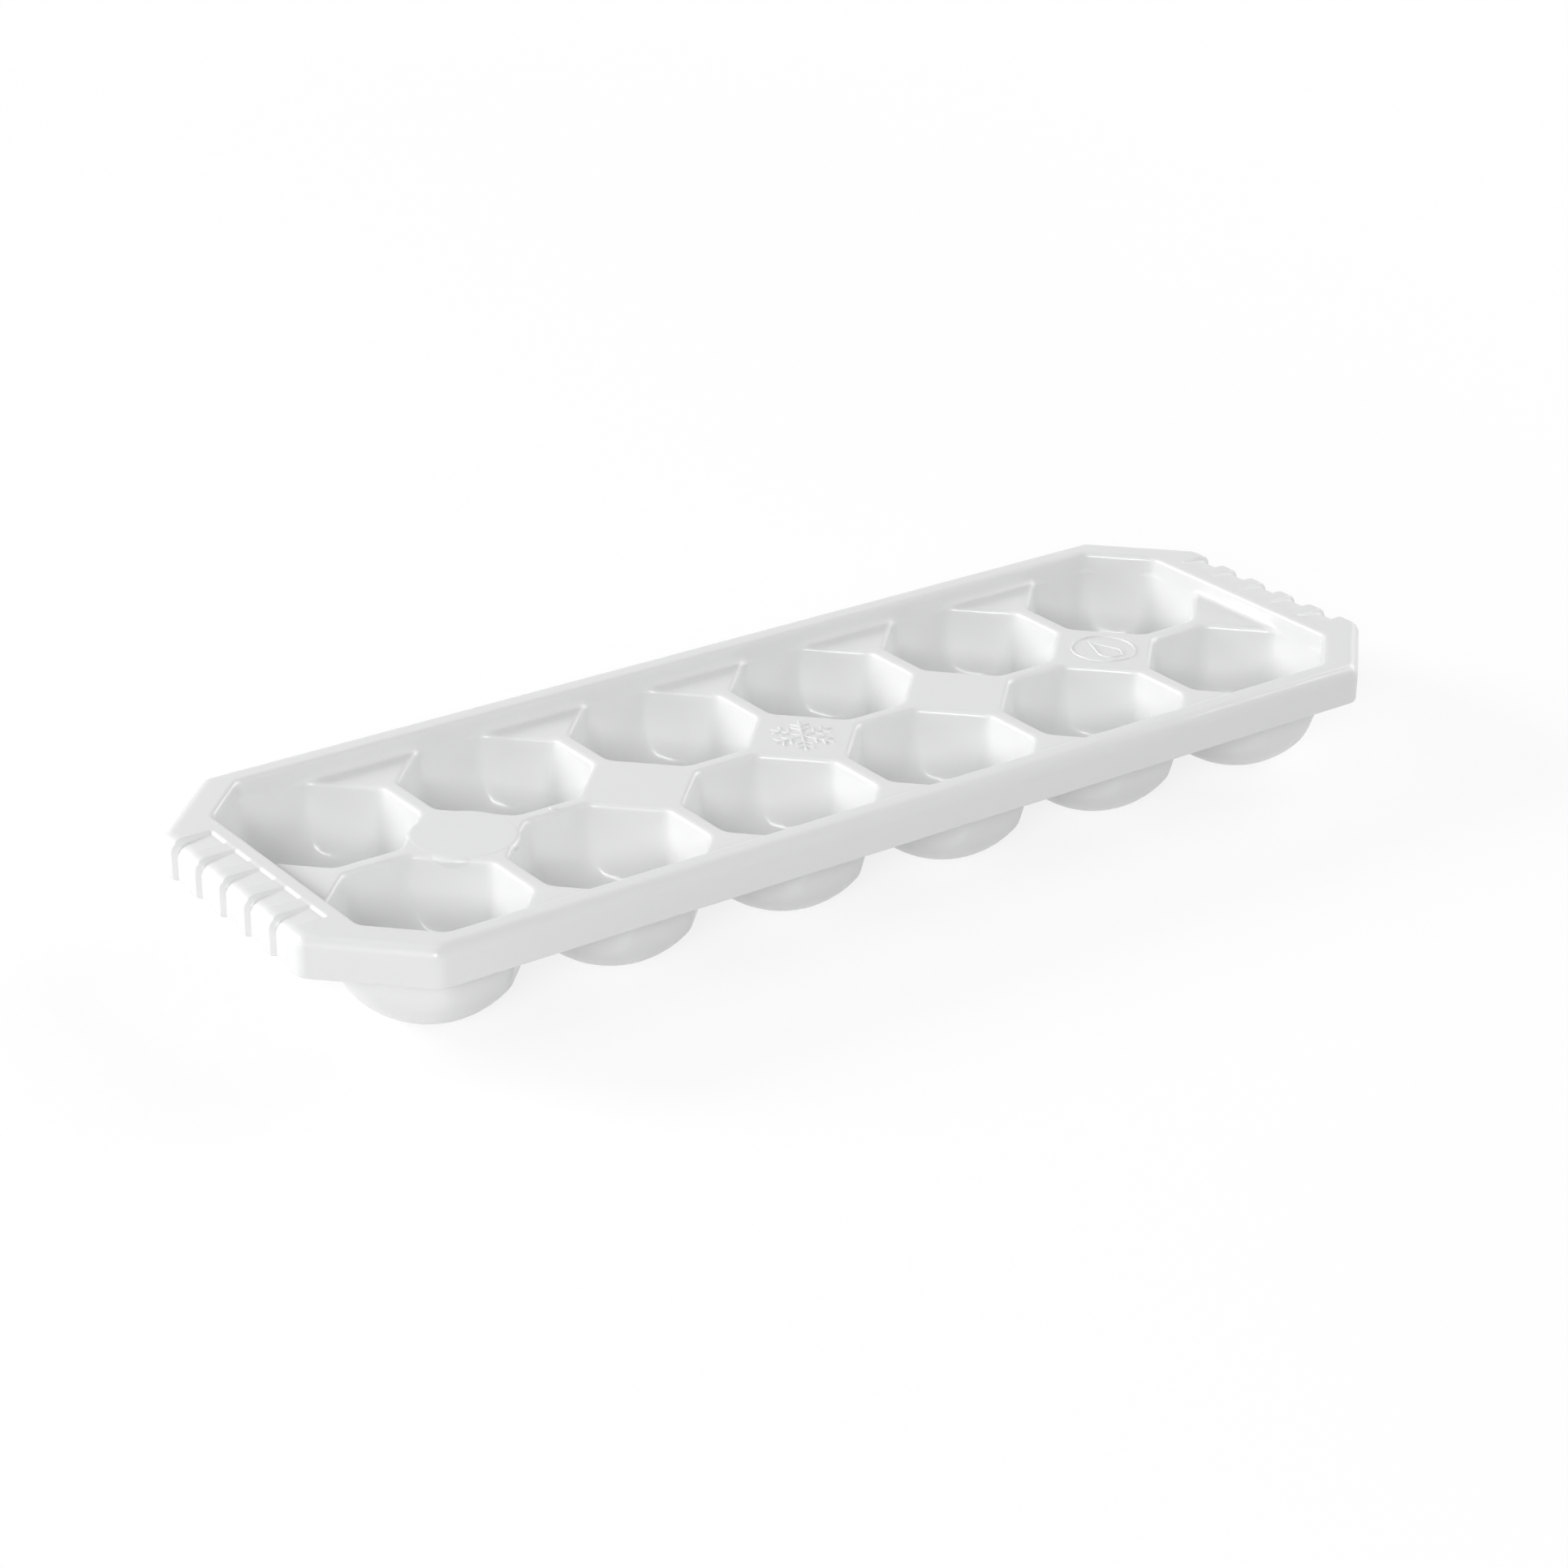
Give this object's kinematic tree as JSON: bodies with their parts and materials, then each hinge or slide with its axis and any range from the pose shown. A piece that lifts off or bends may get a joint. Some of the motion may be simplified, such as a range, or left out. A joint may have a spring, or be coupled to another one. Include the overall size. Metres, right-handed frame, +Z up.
{
  "type": "ice cube tray",
  "caption": "Ice cube tray: octagonal round-bottomed cups in a single moulded shell, with a skirted rim, cut corners and grooved finger grips at its ends.",
  "frame": {"origin": "middle of the tray in plan, at the level of the cups' feet", "axes": "+X along the length, +Y across the width from front to back, +Z up out of the cups' mouths"},
  "size_m": [0.28, 0.095, 0.0275],
  "materials": {
    "shell": "smooth moulded, glossy white"
  },
  "bodies": {
    "root": {"deck": "shell", "rim_front": "shell", "rim_back": "shell", "grip_left": "shell", "grip_right": "shell", "corner_front_left": "shell", "corner_front_right": "shell", "corner_back_left": "shell", "corner_back_right": "shell", "cup_front_1": "shell", "cup_front_2": "shell", "cup_front_3": "shell", "cup_front_4": "shell", "cup_front_5": "shell", "cup_front_6": "shell", "cup_back_1": "shell", "cup_back_2": "shell", "cup_back_3": "shell", "cup_back_4": "shell", "cup_back_5": "shell", "cup_back_6": "shell", "round_pad": "shell", "snowflake_mark": "shell", "drop_mark": "shell", "web_pip": "shell"}
  },
  "joints": []
}
